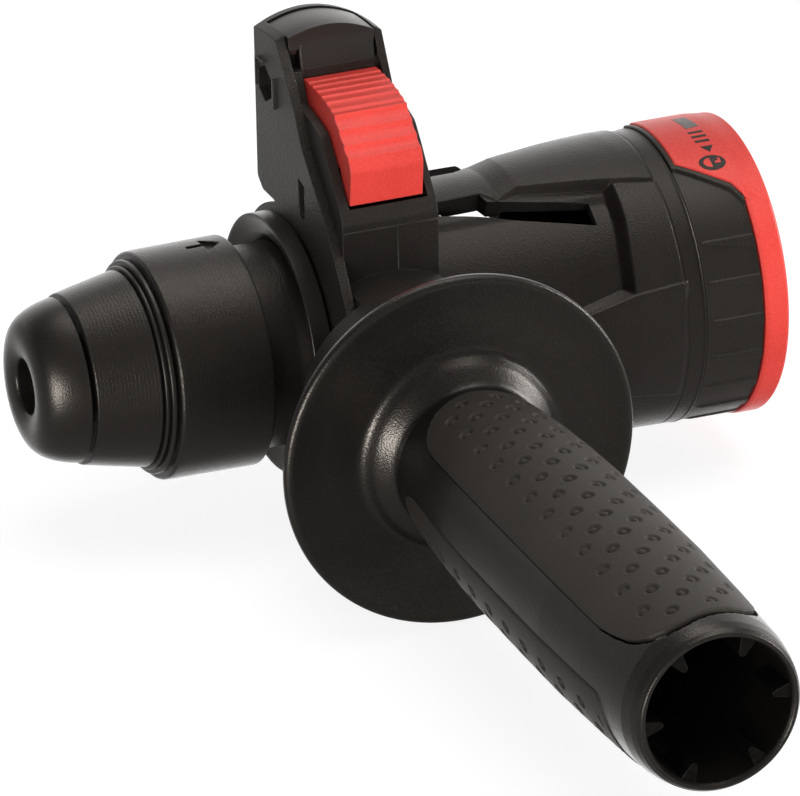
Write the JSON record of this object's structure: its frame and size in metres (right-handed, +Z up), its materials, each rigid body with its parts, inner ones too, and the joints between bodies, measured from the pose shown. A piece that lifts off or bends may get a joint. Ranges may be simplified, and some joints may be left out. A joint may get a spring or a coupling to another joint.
{
  "type": "rotary hammer head",
  "caption": "Quick-change rotary-hammer head with tool-holder chuck, hammer gearing, bayonet lock ring, swivelling side handle and depth-stop clamp.",
  "frame": {"origin": "centre of the input shaft's end face, on the tool axis, which the power base drives; the side handle's axis crosses the tool axis 76.5 mm in front of it", "axes": "+X along the tool axis from the chuck to the power-base coupling, -Y along the side handle, +Z up through the depth-stop tower"},
  "size_m": [0.1512, 0.2174, 0.1006],
  "materials": {
    "black_plastic": "fine-grained moulded black plastic, dull sheen",
    "satin_plastic": "smoother satin black plastic",
    "soft_grip": "dark grey-brown overmoulded soft grip with small domed dimples",
    "rubber": "black rubber, soft highlight",
    "red_plastic": "bright red moulded plastic, fine satin",
    "steel": "ground and turned steel",
    "dark_steel": "blackened steel",
    "cast_aluminium": "die-cast aluminium, fine sand texture",
    "brass": "turned brass"
  },
  "bodies": {
    "root": {"gear_housing": "black_plastic", "front_collar": "satin_plastic", "shaft_seal": "rubber", "front_ball_bearing": "steel", "bearing_bridge": "cast_aluminium", "spindle_needle_bush": "steel", "intermediate_front_bearing": "steel", "intermediate_rear_bearing": "steel", "input_ball_bearing": "steel", "rear_adapter": "cast_aluminium", "adapter_screw_1": "dark_steel", "adapter_screw_2": "dark_steel", "adapter_screw_3": "dark_steel", "adapter_screw_4": "dark_steel"},
    "spindle": {"spindle": "steel", "dust_cap": "rubber", "locking_ball_top": "steel", "locking_ball_bottom": "steel", "spring_seat_washer": "dark_steel", "sleeve_spring": "steel", "spindle_gear": "steel", "gear_circlip": "dark_steel"},
    "lock_sleeve": {"sleeve_cone": "black_plastic", "locking_ring": "dark_steel", "sleeve_step_ring": "satin_plastic", "locking_sleeve": "black_plastic"},
    "impact_bolt": {"impact_bolt": "steel"},
    "striker": {"striker": "steel", "striker_o_ring": "rubber"},
    "piston": {"piston": "cast_aluminium", "piston_o_ring": "rubber"},
    "wobble": {"wobble_ring": "dark_steel"},
    "intermediate": {"intermediate_shaft": "steel", "intermediate_gear": "steel", "wobble_hub": "steel"},
    "input": {"input_pinion_shaft": "steel", "drive_dog": "dark_steel"},
    "clamp": {"clamp_body": "black_plastic", "clamp_face_plate": "black_plastic", "tower_cap": "satin_plastic", "clamp_band": "steel", "handle_stud": "steel", "button_spring": "steel"},
    "release_button": {"release_button": "red_plastic"},
    "side_handle": {"handle_core": "black_plastic", "grip_panel_top": "soft_grip", "grip_panel_bottom": "soft_grip", "threaded_insert": "brass"},
    "lock_ring": {"lock_collar": "black_plastic", "lock_ring": "red_plastic"}
  },
  "joints": [
    {"name": "input_spin", "type": "hinge", "parent": "root", "child": "input", "pos_m": [-0.0165, 0, 0], "axis": [1, 0, 0], "continuous": true},
    {"name": "intermediate_spin", "type": "hinge", "parent": "root", "child": "intermediate", "pos_m": [-0.0365, 0, -0.0144], "axis": [1, 0, 0], "continuous": true},
    {"name": "spindle_spin", "type": "hinge", "parent": "root", "child": "spindle", "pos_m": [-0.0765, 0, 0], "axis": [1, 0, 0], "continuous": true},
    {"name": "wobble_swing", "type": "hinge", "parent": "root", "child": "wobble", "pos_m": [-0.0305, 0, -0.0144], "axis": [0, 1, 0], "range_deg": [-12, 12]},
    {"name": "piston_slide", "type": "slide", "parent": "root", "child": "piston", "axis": [1, 0, 0], "range_m": [-0.0031, 0.0031]},
    {"name": "striker_slide", "type": "slide", "parent": "spindle", "child": "striker", "axis": [1, 0, 0], "range_m": [0, 0.004]},
    {"name": "impact_bolt_slide", "type": "slide", "parent": "spindle", "child": "impact_bolt", "axis": [1, 0, 0], "range_m": [0, 0.003]},
    {"name": "lock_sleeve_slide", "type": "slide", "parent": "spindle", "child": "lock_sleeve", "axis": [1, 0, 0], "range_m": [0, 0.0055], "deforming": ["sleeve_spring"]},
    {"name": "clamp_swivel", "type": "hinge", "parent": "root", "child": "clamp", "pos_m": [-0.0765, 0, 0], "axis": [1, 0, 0], "continuous": true},
    {"name": "handle_unscrew", "type": "hinge", "parent": "clamp", "child": "side_handle", "pos_m": [-0.0765, -0.1, 0], "axis": [0, -1, 0], "range_deg": [0, 360]},
    {"name": "release_button_slide", "type": "slide", "parent": "clamp", "child": "release_button", "axis": [0, 0, -1], "range_m": [0, 0.003], "deforming": ["button_spring"]},
    {"name": "lock_ring_turn", "type": "hinge", "parent": "root", "child": "lock_ring", "pos_m": [-0.0015, 0, 0], "axis": [1, 0, 0], "range_deg": [0, 30]}
  ],
  "couplings": [
    {"joint": "intermediate_spin", "follows": "input_spin", "ratio": -0.63636},
    {"joint": "spindle_spin", "follows": "input_spin", "ratio": 0.21212},
    {"joint": "piston_slide", "follows": "wobble_swing", "m_per_rad": 0.0144}
  ]
}
